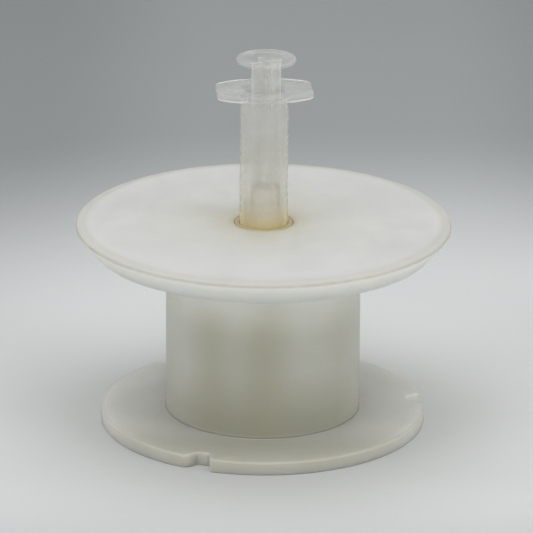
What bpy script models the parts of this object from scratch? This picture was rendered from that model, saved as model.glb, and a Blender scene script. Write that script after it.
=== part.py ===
"""Film developing reel: a flanged spool with a syringe standing in its centre.

Run in Blender 4.5. Units are metres, +Z is up, and the origin is the middle of
the spool's underside. The parts are separate objects:

  reel     bottom_flange, hub_tube, centre_tube, nozzle_seat
  lid      lid_plate, top_flange
  bearing  barrel_grommet
  syringe  syringe_barrel
  plunger  plunger_rod, plunger_seal
"""

import math

import bmesh
import bpy
from mathutils import Matrix, Vector

MM = 0.001

# Driving dimensions of the spool
FIT = 0.3 * MM              # gap between two pieces that touch
RUN = 0.5 * MM              # gap round a piece that slides
BASE_RADIUS = 35.1 * MM
BASE_THICKNESS = 2.9 * MM
FILM_GAP = 36.2 * MM        # 35 mm film with clearance at both edges
HUB_RADIUS = 21.0 * MM
HUB_WALL = 2.6 * MM
FLANGE_RADIUS = 35.6 * MM
FLANGE_THICKNESS = 4.6 * MM
LID_RADIUS = 40.5 * MM
LID_THICKNESS = 1.2 * MM
LID_HOLE_RADIUS = 6.37 * MM
LID_EDGE = 0.9 * MM             # height of the lid's upright edge
SKIRT_STEP = 1.1 * MM           # the skirt turns under the edge by this much
SKIRT_STEP_DEPTH = 2.3 * MM     # from the lid's top
SKIRT_DEPTH = 5.5 * MM
SKIRT_FOOT_WALL = 0.6 * MM
EDGE_ROUND = 0.45 * MM
OVERCUT = 2.0 * MM          # how far a cutter reaches past the piece it cuts

# Locating rings that hold the hub tube concentric
SPIGOT_WALL = 2.1 * MM
BASE_SPIGOT_HEIGHT = 3.0 * MM
LID_SPIGOT_HEIGHT = 6.0 * MM

# Notches in the rim of the bottom flange
NOTCH_COUNT = 3
NOTCH_ANGLE = math.radians(247.65)
NOTCH_DEPTH = 3.4 * MM
NOTCH_WALL_TOP = 2.4 * MM       # tangential place of the steep wall at the rim
NOTCH_WALL_FLOOR = 0.9 * MM     # the same wall at the notch's floor
NOTCH_RAMP_FLOOR = -1.8 * MM
NOTCH_RAMP_TOP = -2.6 * MM
NOTCH_ROUND = 0.9 * MM          # between the notch's floor and its ramp
NOTCH_RAMP_LEAN = 0.6 * MM      # how much the ramp widens the notch past the rim

# Syringe
BARREL_RADIUS = 5.2 * MM
BORE_RADIUS = 4.2 * MM
BARREL_FOOT = 13.0 * MM         # height of the barrel's shoulder
BARREL_TOP = 75.0 * MM
BARREL_END_WALL = 1.2 * MM
NOZZLE_TIP = 3.9 * MM           # height of the nozzle's end
NOZZLE_ROOT_RADIUS = 2.15 * MM
NOZZLE_TIP_RADIUS = 1.95 * MM
NOZZLE_BORE_RADIUS = 0.9 * MM
FINGER_THICKNESS = 1.45 * MM
FINGER_HALF_LENGTH = 10.35 * MM
FINGER_HALF_WIDTH = 7.3 * MM
FINGER_SIDE_ARC = 18.4 * MM     # radius of each long, bowed edge
FINGER_CORNER = 2.6 * MM
FINGER_TURN = math.radians(5.0)     # the barrel stands slightly turned
THUMB_RADIUS = 6.4 * MM
THUMB_THICKNESS = 0.9 * MM
THUMB_ROUND = 0.3 * MM
PLUNGER_TOP = 81.8 * MM
ROD_SPAN = 6.9 * MM             # across the fins
ROD_FIN = 0.95 * MM
ROD_TURN = math.radians(26.0)
ROD_DISC_HEIGHT = 65.5 * MM
ROD_DISC_THICKNESS = 0.7 * MM
STEM_TOP = 52.9 * MM
FIN_ROOT = 1.0 * MM             # how far the fins run down into the stem
STEM_RADIUS = 3.1 * MM
SEAL_FOOT = 16.2 * MM
SEAL_LENGTH = 6.4 * MM
SEAL_GAP = 0.25 * MM
SEAL_LIP = 1.1 * MM             # height of each lip
SEAL_LIP_SLOPE = 0.4 * MM
SEAL_LIP_DEPTH = 0.5 * MM
SEAL_FACE_BEVEL = 0.3 * MM
SEAL_STUD_RADIUS = 1.6 * MM
SEAL_STUD_LENGTH = 3.6 * MM

# Centre of the spool
GROMMET_RADIUS = 7.7 * MM
GROMMET_HEIGHT = 2.2 * MM       # of its flange, under the lid plate
GROMMET_EASE = 0.15 * MM        # chamfer of the neck that shows in the lid's hole
TUBE_WALL = 1.5 * MM
SEAT_COLLAR_HEIGHT = 3.0 * MM
SEAT_SPIGOT_RADIUS = 3.3 * MM
SEAT_SOCKET_RADIUS = 2.5 * MM
SEAT_BORE_RADIUS = 1.0 * MM

# Segments round each kind of turned piece
DISC_STEPS = 72
TUBE_STEPS = 48
SMALL_STEPS = 32

# Heights that follow
HUB_BOTTOM = BASE_THICKNESS
HUB_TOP = HUB_BOTTOM + FILM_GAP
LID_TOP = HUB_TOP + FLANGE_THICKNESS + LID_THICKNESS
LID_UNDERSIDE = LID_TOP - LID_THICKNESS
HUB_BORE = HUB_RADIUS - HUB_WALL
SPIGOT_OUTER = HUB_BORE - FIT
SPIGOT_INNER = SPIGOT_OUTER - SPIGOT_WALL
GROMMET_TOP = LID_UNDERSIDE - FIT
GROMMET_FOOT = GROMMET_TOP - GROMMET_HEIGHT
GROMMET_NECK = LID_HOLE_RADIUS - FIT
NECK_TOP = LID_TOP - FIT
TUBE_BORE = BARREL_RADIUS + RUN
TUBE_TOP = HUB_TOP - FIT
SEAT_LEDGE = NOZZLE_TIP - FIT


def clear_scene():
    """Remove every object that the file holds."""
    for item in list(bpy.data.objects):
        bpy.data.objects.remove(item, do_unlink=True)


def new_collection(name):
    """A collection linked to the scene."""
    group = bpy.data.collections.new(name)
    bpy.context.scene.collection.children.link(group)
    return group


def plastic(name, color, roughness, transmission=0.0):
    """A Principled BSDF material for one sub-part."""
    material = bpy.data.materials.new(name)
    material.use_nodes = True
    shader = material.node_tree.nodes["Principled BSDF"]
    shader.inputs["Base Color"].default_value = (*color, 1.0)
    shader.inputs["Roughness"].default_value = roughness
    shader.inputs["Metallic"].default_value = 0.0
    shader.inputs["Transmission Weight"].default_value = transmission
    return material


def place(name, mesh, material, group, parent=None):
    """Make the object, shade its round sides and hang it on its body's empty."""
    item = bpy.data.objects.new(name, mesh)
    group.objects.link(item)
    mesh.materials.append(material)
    if parent:
        item.parent = parent
        item.matrix_parent_inverse = parent.matrix_world.inverted()
    return item


def body_empty(name, height, group, parent=None):
    """An empty on a body's joint axis."""
    empty = bpy.data.objects.new(name, None)
    empty.empty_display_size = 0.01
    empty.matrix_world = Matrix.Translation((0.0, 0.0, height))
    group.objects.link(empty)
    bpy.context.view_layer.update()
    if parent:
        empty.parent = parent
        empty.matrix_parent_inverse = parent.matrix_world.inverted()
    return empty


def closed_profile(name, points):
    """A closed outline of (radius, height) points, turned round Z by a Screw modifier.

    The points go down the outer side and back up the inner side.
    """
    mesh = bpy.data.meshes.new(name)
    corners = [Vector((radius, 0.0, height)) for radius, height in points]
    edges = [(i, (i + 1) % len(corners)) for i in range(len(corners))]
    mesh.from_pydata(corners, edges, [])
    return mesh


def open_profile(name, points):
    """An outline that starts and ends on the axis, for a solid turned without a hole."""
    mesh = bpy.data.meshes.new(name)
    corners = [Vector((radius, 0.0, height)) for radius, height in points]
    edges = [(i, i + 1) for i in range(len(corners) - 1)]
    mesh.from_pydata(corners, edges, [])
    return mesh


def turn(item, steps):
    """Add the Screw modifier that turns a profile into a solid."""
    screw = item.modifiers.new("Turn", "SCREW")
    screw.axis = "Z"
    screw.angle = math.tau
    screw.steps = steps
    screw.render_steps = steps
    screw.use_merge_vertices = True
    screw.merge_threshold = 0.00001
    screw.use_smooth_shade = True


def turned_piece(name, points, steps, material, group, parent=None):
    """A piece turned from a closed outline."""
    item = place(name, closed_profile(name, points), material, group, parent)
    turn(item, steps)
    return item


def arc(centre, radius, start, end, count):
    """Points of a circular arc in the plane of a profile or an outline."""
    cx, cy = centre
    angles = [start + (end - start) * i / count for i in range(count + 1)]
    return [(cx + radius * math.cos(a), cy + radius * math.sin(a)) for a in angles]


def rounded_outer(radius, top, bottom, rounding, count=3):
    """Outer side of a disc, from the top face down to the bottom face, both edges rounded."""
    upper = arc((radius - rounding, top - rounding), rounding, math.pi / 2, 0.0, count)
    lower = arc((radius - rounding, bottom + rounding), rounding, 0.0, -math.pi / 2, count)
    return upper + lower


def cut(item, cutter, name):
    """Subtract a cutter from a piece."""
    boolean = item.modifiers.new(name, "BOOLEAN")
    boolean.operation = "DIFFERENCE"
    boolean.solver = "EXACT"
    boolean.object = cutter


def join(item, other, name):
    """Fuse another solid into a piece."""
    boolean = item.modifiers.new(name, "BOOLEAN")
    boolean.operation = "UNION"
    boolean.solver = "EXACT"
    boolean.object = other


def tool(name, mesh, group):
    """A solid that only cuts or joins, and isn't a part of its own."""
    item = bpy.data.objects.new(name, mesh)
    item.hide_render = True
    item.display_type = "WIRE"
    group.objects.link(item)
    return item


def prism(name, outline, bottom, top):
    """A straight prism over a flat outline."""
    mesh = bpy.data.meshes.new(name)
    shape = bmesh.new()
    ring = [shape.verts.new((x, y, bottom)) for x, y in outline]
    base = shape.faces.new(ring)
    raised = bmesh.ops.extrude_face_region(shape, geom=[base])
    lifted = [v for v in raised["geom"] if isinstance(v, bmesh.types.BMVert)]
    bmesh.ops.translate(shape, verts=lifted, vec=(0.0, 0.0, top - bottom))
    bmesh.ops.recalc_face_normals(shape, faces=shape.faces)
    shape.to_mesh(mesh)
    shape.free()
    return mesh


def cylinder(name, radius, bottom, top, steps):
    """A plain round solid along Z."""
    mesh = bpy.data.meshes.new(name)
    shape = bmesh.new()
    middle = Matrix.Translation((0.0, 0.0, (bottom + top) / 2))
    bmesh.ops.create_cone(
        shape, cap_ends=True, segments=steps, radius1=radius, radius2=radius,
        depth=top - bottom, matrix=middle)
    shape.to_mesh(mesh)
    shape.free()
    return mesh


def notch_outline():
    """Plan of one notch, cut inwards from +X: a steep leaning wall, a floor and a round ramp."""
    rim = BASE_RADIUS
    floor = BASE_RADIUS - NOTCH_DEPTH
    past = rim + OVERCUT
    ramp_centre = (floor + 2 * NOTCH_ROUND, NOTCH_RAMP_FLOOR + 0.2 * MM)
    ramp = arc(ramp_centre, NOTCH_ROUND, math.pi, 1.5 * math.pi, 4)
    wall_slope = (NOTCH_WALL_TOP - NOTCH_WALL_FLOOR) / (rim - floor)
    return [
        (past, NOTCH_WALL_TOP + wall_slope * (past - rim)),
        (floor, NOTCH_WALL_FLOOR),
        *ramp,
        (rim, NOTCH_RAMP_TOP),
        (past, NOTCH_RAMP_TOP - NOTCH_RAMP_LEAN),
    ]


def make_bottom_flange(group, cutters):
    """Thin lower disc with a locating ring, a socket for the nozzle seat and three notches."""
    spigot_top = HUB_BOTTOM + BASE_SPIGOT_HEIGHT
    hole = SEAT_SPIGOT_RADIUS + FIT
    points = [
        (SPIGOT_INNER, HUB_BOTTOM),
        (SPIGOT_INNER, spigot_top),
        (SPIGOT_OUTER, spigot_top),
        (SPIGOT_OUTER, HUB_BOTTOM),
        *rounded_outer(BASE_RADIUS, BASE_THICKNESS, 0.0, EDGE_ROUND, 2),
        (hole, 0.0),
        (hole, HUB_BOTTOM),
    ]
    material = plastic("bottom_flange_plastic", (0.62, 0.62, 0.57), 0.5)
    item = turned_piece("bottom_flange", points, DISC_STEPS, material, group)
    outline = notch_outline()
    for index in range(NOTCH_COUNT):
        mesh = prism(f"notch_{index + 1}", outline, -OVERCUT, BASE_THICKNESS + OVERCUT)
        cutter = tool(f"notch_{index + 1}", mesh, cutters)
        cutter.rotation_euler[2] = NOTCH_ANGLE + index * math.tau / NOTCH_COUNT
        cut(item, cutter, f"Notch {index + 1}")
    return item


def make_hub_tube(group):
    """Winding drum between the flanges."""
    bottom = HUB_BOTTOM + FIT
    top = HUB_TOP - FIT
    points = [(HUB_RADIUS, top), (HUB_RADIUS, bottom), (HUB_BORE, bottom), (HUB_BORE, top)]
    material = plastic("hub_plastic", (0.60, 0.60, 0.53), 0.42)
    return turned_piece("hub_tube", points, DISC_STEPS, material, group)


def make_centre_tube(group):
    """Guide tube that keeps the barrel upright inside the hub."""
    bottom = HUB_BOTTOM + FIT
    outer = TUBE_BORE + TUBE_WALL
    points = [(outer, TUBE_TOP), (outer, bottom), (TUBE_BORE, bottom), (TUBE_BORE, TUBE_TOP)]
    material = plastic("centre_tube_plastic", (0.66, 0.64, 0.55), 0.45)
    return turned_piece("centre_tube", points, TUBE_STEPS, material, group)


def make_nozzle_seat(group):
    """Stepped bush in the reel's floor, with a socket for the nozzle and a drain bore."""
    collar = TUBE_BORE - FIT
    collar_foot = HUB_BOTTOM + FIT
    collar_top = collar_foot + SEAT_COLLAR_HEIGHT
    foot = FIT
    points = [
        (collar, collar_top),
        (collar, collar_foot),
        (SEAT_SPIGOT_RADIUS, collar_foot),
        (SEAT_SPIGOT_RADIUS, foot),
        (SEAT_BORE_RADIUS, foot),
        (SEAT_BORE_RADIUS, SEAT_LEDGE),
        (SEAT_SOCKET_RADIUS, SEAT_LEDGE),
        (SEAT_SOCKET_RADIUS, collar_top),
    ]
    material = plastic("nozzle_seat_plastic", (0.70, 0.70, 0.66), 0.45)
    return turned_piece("nozzle_seat", points, SMALL_STEPS, material, group)


def make_top_flange(group, parent):
    """Thick upper flange with its locating ring and a pocket for the grommet."""
    top = LID_UNDERSIDE - FIT
    spigot_foot = HUB_TOP - LID_SPIGOT_HEIGHT
    pocket = GROMMET_RADIUS + FIT
    pocket_floor = GROMMET_FOOT - FIT
    throat = BARREL_RADIUS + 2 * RUN
    points = [
        *rounded_outer(FLANGE_RADIUS, top, HUB_TOP, EDGE_ROUND, 2),
        (SPIGOT_OUTER, HUB_TOP),
        (SPIGOT_OUTER, spigot_foot),
        (SPIGOT_INNER, spigot_foot),
        (SPIGOT_INNER, HUB_TOP),
        (throat, HUB_TOP),
        (throat, pocket_floor),
        (pocket, pocket_floor),
        (pocket, top),
    ]
    material = plastic("top_flange_plastic", (0.72, 0.72, 0.67), 0.5)
    return turned_piece("top_flange", points, DISC_STEPS, material, group, parent)


def make_lid_plate(group, parent):
    """Wide thin plate that closes the top, with a tapered skirt round the flange."""
    skirt_inner = FLANGE_RADIUS + FIT
    skirt_foot = LID_TOP - SKIRT_DEPTH
    corner = (LID_RADIUS - EDGE_ROUND, LID_TOP - EDGE_ROUND)
    points = [
        *arc(corner, EDGE_ROUND, math.pi / 2, 0.0, 3),
        (LID_RADIUS, LID_TOP - LID_EDGE),
        (LID_RADIUS - SKIRT_STEP, LID_TOP - SKIRT_STEP_DEPTH),
        (skirt_inner + SKIRT_FOOT_WALL, skirt_foot),
        (skirt_inner, skirt_foot),
        (skirt_inner, LID_UNDERSIDE),
        (LID_HOLE_RADIUS, LID_UNDERSIDE),
        (LID_HOLE_RADIUS, LID_TOP),
    ]
    material = plastic("lid_plastic", (0.80, 0.80, 0.76), 0.55)
    return turned_piece("lid_plate", points, DISC_STEPS, material, group, parent)


def make_barrel_grommet(group, parent):
    """Soft amber bush that grips the barrel: a flange in the pocket, a neck in the lid's hole."""
    bore = BARREL_RADIUS + FIT
    lead_in = bore + 0.5 * MM
    middle = (GROMMET_TOP + GROMMET_FOOT) / 2
    points = [
        (GROMMET_NECK - GROMMET_EASE, NECK_TOP),
        (GROMMET_NECK, NECK_TOP - GROMMET_EASE),
        (GROMMET_NECK, GROMMET_TOP),
        *rounded_outer(GROMMET_RADIUS, GROMMET_TOP, GROMMET_FOOT, EDGE_ROUND, 2),
        (lead_in, GROMMET_FOOT),
        (bore, middle),
        (bore, NECK_TOP),
    ]
    material = plastic("grommet_rubber", (0.62, 0.45, 0.18), 0.5)
    return turned_piece("barrel_grommet", points, TUBE_STEPS, material, group, parent)


def finger_outline():
    """Plan of the finger flange, turned: bowed long edges and blunt ends with round corners."""
    bow_centre = FINGER_HALF_WIDTH - FINGER_SIDE_ARC
    corner_x = FINGER_HALF_LENGTH - FINGER_CORNER
    reach = FINGER_SIDE_ARC - FINGER_CORNER
    corner_y = bow_centre + math.sqrt(reach ** 2 - corner_x ** 2)
    meet = math.atan2(corner_y - bow_centre, corner_x)
    corner = arc((corner_x, corner_y), FINGER_CORNER, 0.0, meet, 4)
    bow = arc((0.0, bow_centre), FINGER_SIDE_ARC, meet, math.pi / 2, 5)
    quarter = corner + bow[1:]
    left = [(-x, y) for x, y in reversed(quarter[:-1])]
    upper = quarter + left
    lower = [(x, -y) for x, y in reversed(upper)]
    cosine = math.cos(FINGER_TURN)
    sine = math.sin(FINGER_TURN)
    return [(x * cosine - y * sine, x * sine + y * cosine) for x, y in upper + lower]


def make_syringe_barrel(group, cutters, parent):
    """Barrel with a closed foot and nozzle, fused with its finger flange and then bored."""
    flange_foot = BARREL_TOP - FINGER_THICKNESS
    item = place("syringe_barrel", prism("syringe_barrel", finger_outline(), flange_foot, BARREL_TOP),
                 plastic("barrel_plastic", (0.72, 0.73, 0.70), 0.3, 0.5), group, parent)
    outer = [
        (0.0, BARREL_TOP - FINGER_THICKNESS / 2),
        (BARREL_RADIUS, BARREL_TOP - FINGER_THICKNESS / 2),
        (BARREL_RADIUS, BARREL_FOOT),
        (NOZZLE_ROOT_RADIUS, BARREL_FOOT),
        (NOZZLE_TIP_RADIUS, NOZZLE_TIP),
        (0.0, NOZZLE_TIP),
    ]
    body = tool("barrel_outer", open_profile("barrel_outer", outer), cutters)
    turn(body, TUBE_STEPS)
    join(item, body, "Barrel")
    floor = BARREL_FOOT + BARREL_END_WALL
    inner = [
        (0.0, BARREL_TOP + OVERCUT),
        (BORE_RADIUS, BARREL_TOP + OVERCUT),
        (BORE_RADIUS, floor),
        (NOZZLE_BORE_RADIUS, floor),
        (NOZZLE_BORE_RADIUS, NOZZLE_TIP - OVERCUT),
        (0.0, NOZZLE_TIP - OVERCUT),
    ]
    bore = tool("barrel_bore", open_profile("barrel_bore", inner), cutters)
    turn(bore, TUBE_STEPS)
    cut(item, bore, "Bore")
    return item


def make_plunger_rod(group, cutters, parent):
    """Cross-ribbed rod with a thumb disc, a guide disc, a round stem and a stud for the seal."""
    disc_foot = PLUNGER_TOP - THUMB_THICKNESS
    seal_top = SEAL_FOOT + SEAL_LENGTH
    stud_foot = seal_top - SEAL_STUD_LENGTH
    disc_half = ROD_DISC_THICKNESS / 2
    span = ROD_SPAN / 2
    profile = [
        (0.0, PLUNGER_TOP),
        *rounded_outer(THUMB_RADIUS, PLUNGER_TOP, disc_foot, THUMB_ROUND, 2),
        (0.0, disc_foot),
    ]
    item = place("plunger_rod", open_profile("plunger_rod", profile),
                 plastic("plunger_plastic", (0.74, 0.75, 0.72), 0.35, 0.4), group, parent)
    turn(item, TUBE_STEPS)
    fin_top = PLUNGER_TOP - THUMB_THICKNESS / 2
    fin_foot = STEM_TOP - FIN_ROOT
    half = ROD_FIN / 2
    for index in range(2):
        outline = [(span, -half), (span, half), (-span, half), (-span, -half)]
        fin = tool(f"rod_fin_{index + 1}", prism("rod_fin", outline, fin_foot, fin_top), cutters)
        fin.rotation_euler[2] = ROD_TURN + index * math.pi / 2
        join(item, fin, f"Fin {index + 1}")
    guide = cylinder("rod_disc", span, ROD_DISC_HEIGHT - disc_half,
                     ROD_DISC_HEIGHT + disc_half, SMALL_STEPS)
    join(item, tool("rod_disc", guide, cutters), "Guide disc")
    lower = [
        (0.0, STEM_TOP),
        (STEM_RADIUS, STEM_TOP),
        (STEM_RADIUS, seal_top + FIT),
        (SEAL_STUD_RADIUS, seal_top + FIT),
        (SEAL_STUD_RADIUS, stud_foot),
        (0.0, stud_foot),
    ]
    stem = tool("rod_stem", open_profile("rod_stem", lower), cutters)
    turn(stem, SMALL_STEPS)
    join(item, stem, "Stem")
    return item


def make_plunger_seal(group, parent):
    """Head on the end of the rod, with two sealing lips and a hollow for the rod's stud."""
    outer = BORE_RADIUS - SEAL_GAP
    waist = outer - SEAL_LIP_DEPTH
    slope = SEAL_LIP + SEAL_LIP_SLOPE
    socket = SEAL_STUD_RADIUS + FIT
    top = SEAL_FOOT + SEAL_LENGTH
    socket_floor = top - SEAL_STUD_LENGTH - FIT
    points = [
        (socket, top),
        (outer, top),
        (outer, top - SEAL_LIP),
        (waist, top - slope),
        (waist, SEAL_FOOT + slope),
        (outer, SEAL_FOOT + SEAL_LIP),
        (outer, SEAL_FOOT + SEAL_FACE_BEVEL),
        (0.0, SEAL_FOOT),
    ]
    inner = [(0.0, socket_floor), (socket, socket_floor)]
    mesh = open_profile("plunger_seal", inner + points)
    item = place("plunger_seal", mesh, plastic("seal_rubber", (0.55, 0.53, 0.48), 0.6), group, parent)
    turn(item, SMALL_STEPS)
    return item


def main():
    """Build the reel."""
    clear_scene()
    group = new_collection("film_developing_reel")
    cutters = new_collection("cutters")
    make_bottom_flange(group, cutters)
    make_hub_tube(group)
    make_centre_tube(group)
    make_nozzle_seat(group)
    lid = body_empty("lid_body", HUB_TOP, group)
    make_top_flange(group, lid)
    make_lid_plate(group, lid)
    bearing = body_empty("bearing_body", GROMMET_FOOT, group, lid)
    make_barrel_grommet(group, bearing)
    syringe = body_empty("syringe_body", BARREL_FOOT, group, bearing)
    make_syringe_barrel(group, cutters, syringe)
    plunger = body_empty("plunger_body", SEAL_FOOT, group, syringe)
    make_plunger_rod(group, cutters, plunger)
    make_plunger_seal(group, plunger)


main()
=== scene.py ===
"""Film developing reel, the looks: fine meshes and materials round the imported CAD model."""

import math

import bmesh
import bpy
import numpy as np
from mathutils import Matrix, Vector


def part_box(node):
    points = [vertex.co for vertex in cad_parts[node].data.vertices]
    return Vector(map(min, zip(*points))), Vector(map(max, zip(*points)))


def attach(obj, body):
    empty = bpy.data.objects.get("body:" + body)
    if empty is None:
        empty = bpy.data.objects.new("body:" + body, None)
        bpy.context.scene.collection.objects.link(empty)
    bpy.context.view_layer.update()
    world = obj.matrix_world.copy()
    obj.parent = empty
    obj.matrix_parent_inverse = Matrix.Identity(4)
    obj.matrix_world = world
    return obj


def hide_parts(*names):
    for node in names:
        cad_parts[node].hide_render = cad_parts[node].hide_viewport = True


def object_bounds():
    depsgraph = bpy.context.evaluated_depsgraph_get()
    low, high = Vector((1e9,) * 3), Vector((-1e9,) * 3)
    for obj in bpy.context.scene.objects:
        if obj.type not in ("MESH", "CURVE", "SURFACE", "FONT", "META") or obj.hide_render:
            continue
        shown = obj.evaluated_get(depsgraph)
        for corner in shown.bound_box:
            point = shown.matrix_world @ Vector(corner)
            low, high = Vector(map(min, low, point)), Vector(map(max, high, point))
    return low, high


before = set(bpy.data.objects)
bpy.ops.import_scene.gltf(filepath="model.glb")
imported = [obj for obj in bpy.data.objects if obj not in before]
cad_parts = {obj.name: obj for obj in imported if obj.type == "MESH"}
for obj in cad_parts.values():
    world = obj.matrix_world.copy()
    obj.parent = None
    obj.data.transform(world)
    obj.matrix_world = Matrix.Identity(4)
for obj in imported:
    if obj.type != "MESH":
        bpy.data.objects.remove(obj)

MM = 0.001
CAD_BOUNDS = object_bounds()

# Sizes that part.py gives the pieces inside their boxes
HUB_BORE = 18.4 * MM
SPIGOT_OUTER = 18.1 * MM
SPIGOT_INNER = 16.0 * MM
BASE_THICKNESS = 2.9 * MM
BASE_HOLE = 3.6 * MM
FLANGE_THICKNESS = 4.3 * MM
LID_HOLE = 6.37 * MM
LID_THICKNESS = 1.2 * MM
SKIRT_INNER = 35.9 * MM
SKIRT_FOOT = 36.5 * MM          # outer radius at its foot
POCKET_RADIUS = 8.0 * MM
POCKET_FLOOR = 40.9 * MM
THROAT_RADIUS = 6.2 * MM
TUBE_BORE = 5.7 * MM
SEAT_SPIGOT = 3.3 * MM
SEAT_COLLAR_FOOT = 3.2 * MM
SEAT_LEDGE = 3.6 * MM
SEAT_SOCKET = 2.5 * MM
SEAT_BORE = 1.0 * MM
GROMMET_BORE = 5.3 * MM
GROMMET_NECK = 6.25 * MM
GROMMET_FLANGE = 2.2 * MM
BARREL_RADIUS = 5.2 * MM
BORE_RADIUS = 4.2 * MM
BARREL_FOOT = 13.0 * MM
BARREL_FLOOR = 14.2 * MM
FINGER_THICKNESS = 1.45 * MM
FINGER_HALF_LENGTH = 10.35 * MM
FINGER_HALF_WIDTH = 7.3 * MM
FINGER_SIDE_ARC = 18.4 * MM
FINGER_CORNER = 2.6 * MM
FINGER_TURN = math.radians(5.0)
NOZZLE_ROOT = 2.15 * MM
NOZZLE_TIP = 1.95 * MM
NOZZLE_BORE = 0.9 * MM
THUMB_THICKNESS = 0.9 * MM
ROD_SPAN = 6.9 * MM
ROD_FIN = 0.95 * MM
ROD_TURN = math.radians(26.0)
ROD_DISC_HEIGHT = 65.5 * MM
ROD_DISC_THICKNESS = 0.7 * MM
STEM_TOP = 52.9 * MM
STEM_RADIUS = 3.1 * MM
STUD_RADIUS = 1.6 * MM
STUD_FOOT = 19.0 * MM
SOCKET_RADIUS = 1.9 * MM
SOCKET_FLOOR = 18.7 * MM
ROD_LEAN = 0.35 * MM            # the loose rod rests against one side of the bore

NOTCH_COUNT = 3
NOTCH_ANGLE = math.radians(247.65)
NOTCH_DEPTH = 3.4 * MM
NOTCH_WALL_TOP = 2.4 * MM
NOTCH_WALL_FLOOR = 0.9 * MM
NOTCH_RAMP_FLOOR = -1.8 * MM
NOTCH_RAMP_TOP = -2.6 * MM

DISC_STEPS = 256
TUBE_STEPS = 128
ARC_STEPS = 80                  # steps along the rim between two notches
SUPPORT = 0.05 * MM             # spacing of the extra ring beside each rounded corner
CORNER_SHARE = 0.48             # largest share of an edge that a rounded corner may take
SHARP_ANGLE = math.radians(50.0)
NEAR_RAYS = 0.0004              # a ray closer than this to the next one is left out
TINY = 1e-12
CAD_GAP = 0.3 * MM              # gap that the CAD leaves between two pieces that touch
SEAM = 0.02 * MM                # gap that is left between them here
DRUM_SINK = 0.1 * MM            # how far each end of the drum runs into its neighbour


# ---------------------------------------------------------------- shapes

def node_sizes(node):
    """Outer radius, foot and top of a round node."""
    low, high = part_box(node)
    return (high[0] - low[0]) / 2, low[2], high[2]


def rounded(points, count=5, closed=True):
    """An outline with its corners rounded. Each point is (x, y) or (x, y, corner radius)."""
    result = []
    last = len(points) - 1
    for index, point in enumerate(points):
        here = Vector(point[:2])
        radius = point[2] if len(point) > 2 else 0.0
        if radius == 0.0 or (not closed and index in (0, last)):
            result.append(tuple(here))
            continue
        before = Vector(points[index - 1][:2]) - here
        after = Vector(points[(index + 1) % len(points)][:2]) - here
        half = before.angle(after) / 2
        limit = CORNER_SHARE * min(before.length, after.length)
        reach = min(radius / math.tan(half), limit)
        radius = reach * math.tan(half)
        before.normalize()
        after.normalize()
        centre = here + (before + after).normalized() * (radius / math.sin(half))
        start = here + before * reach - centre
        end = here + after * reach - centre
        sweep = start.angle_signed(end)
        support = min(reach + SUPPORT, 1.5 * reach)
        result.append(tuple(here + before * support))
        for step in range(count + 1):
            arm = start.copy()
            arm.rotate(Matrix.Rotation(-sweep * step / count, 2))
            result.append(tuple(centre + arm))
        result.append(tuple(here + after * support))
    return result


def even_angles(steps):
    """Evenly spaced angles round the axis."""
    return np.arange(steps) * (math.tau / steps)


def angles_with(outline, steps):
    """Even angles with those of an outline's own points added, and none too close together."""
    own = np.arctan2([p[1] for p in outline], [p[0] for p in outline]) % math.tau
    merged = np.sort(np.concatenate([even_angles(steps), own]))
    spacing = np.diff(np.append(merged, merged[0] + math.tau))
    return merged[spacing > NEAR_RAYS]


def radii_of(outline, angles):
    """Distance from the axis to an outline that every ray from the axis meets once."""
    points = np.asarray(outline, dtype=float)
    own = np.unwrap(np.arctan2(points[:, 1], points[:, 0]))
    if own[-1] < own[0]:
        points = points[::-1]
        own = own[::-1]
    own = np.append(own, own[0] + math.tau)
    points = np.vstack([points, points[:1]])
    turn = (np.asarray(angles) - own[0]) % math.tau + own[0]
    index = np.clip(np.searchsorted(own, turn, side="right") - 1, 0, len(own) - 2)
    start = points[index]
    edge = points[index + 1] - start
    ray = np.stack([np.cos(turn), np.sin(turn)], axis=1)
    across = edge[:, 0] * ray[:, 1] - edge[:, 1] * ray[:, 0]
    along = edge[:, 0] * start[:, 1] - edge[:, 1] * start[:, 0]
    parallel = np.abs(across) < TINY
    safe = np.where(parallel, 1.0, across)
    return np.where(parallel, np.hypot(*start.T), along / safe)


def inset(outline, distance):
    """The outline moved inwards by a distance, for a counter-clockwise outline."""
    points = np.asarray(outline, dtype=float)
    along = np.roll(points, -1, axis=0) - np.roll(points, 1, axis=0)
    along /= np.linalg.norm(along, axis=1)[:, None]
    inward = np.stack([-along[:, 1], along[:, 0]], axis=1)
    return points + inward * distance


def ring(radius, height, angles):
    """A ring of points. The radius is one number or one for each angle."""
    radii = np.broadcast_to(radius, angles.shape)
    heights = np.broadcast_to(height, angles.shape)
    return np.stack([radii * np.cos(angles), radii * np.sin(angles), heights], axis=1)


def loft(name, rings, closed=False):
    """A surface through rings of points. An open one is closed by a fan at each end."""
    mesh = bpy.data.meshes.new(name)
    count = len(rings[0])
    vertices = np.concatenate(rings).tolist()
    pairs = list(zip(range(len(rings) - 1), range(1, len(rings))))
    if closed:
        pairs.append((len(rings) - 1, 0))
    faces = []
    for upper, lower in pairs:
        for step in range(count):
            following = (step + 1) % count
            faces.append((upper * count + step, upper * count + following,
                          lower * count + following, lower * count + step))
    if not closed:
        for base in (0, (len(rings) - 1) * count):
            centre = np.mean(vertices[base:base + count], axis=0).tolist()
            vertices.append(centre)
            hub = len(vertices) - 1
            faces += [(base + s, base + (s + 1) % count, hub) for s in range(count)]
    mesh.from_pydata(vertices, [], faces)
    shape = bmesh.new()
    shape.from_mesh(mesh)
    bmesh.ops.recalc_face_normals(shape, faces=shape.faces)
    shape.to_mesh(mesh)
    shape.free()
    mesh.shade_smooth()
    mesh.set_sharp_from_angle(angle=SHARP_ANGLE)
    return mesh


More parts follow.
